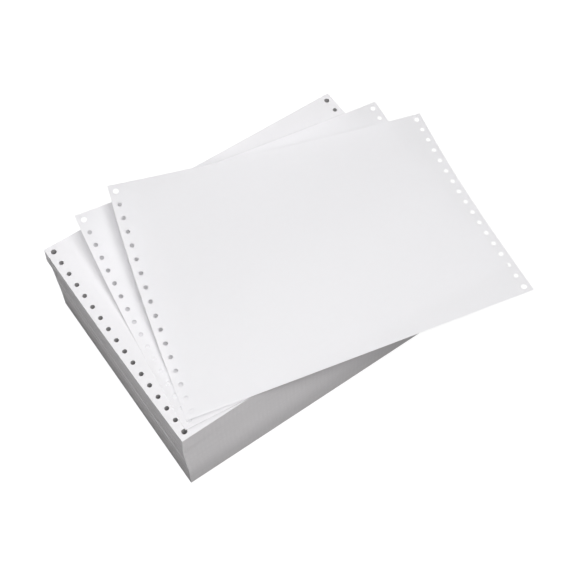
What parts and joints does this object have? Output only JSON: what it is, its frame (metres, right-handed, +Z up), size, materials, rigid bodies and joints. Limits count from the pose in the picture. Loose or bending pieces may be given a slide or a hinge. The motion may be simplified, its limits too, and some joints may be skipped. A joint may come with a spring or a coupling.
{
  "type": "stack of continuous form paper",
  "caption": "Stack of blank fan-folded continuous form paper with feed holes along both sides and loose forms fanned out and curling up on top.",
  "frame": {"origin": "on the table, straight under the centre of the pack's uppermost form", "axes": "+X along the folds, across the web and towards the side that the loose forms fan out to; +Y along the feed direction, from the front fold to the back fold; +Z up"},
  "size_m": [0.3612, 0.2787, 0.1368],
  "materials": {
    "pack_paper": "matt",
    "sheet_paper": "matt"
  },
  "bodies": {
    "root": {"form_pack": "pack_paper", "middle_form": "sheet_paper", "top_form": "sheet_paper"}
  },
  "joints": []
}
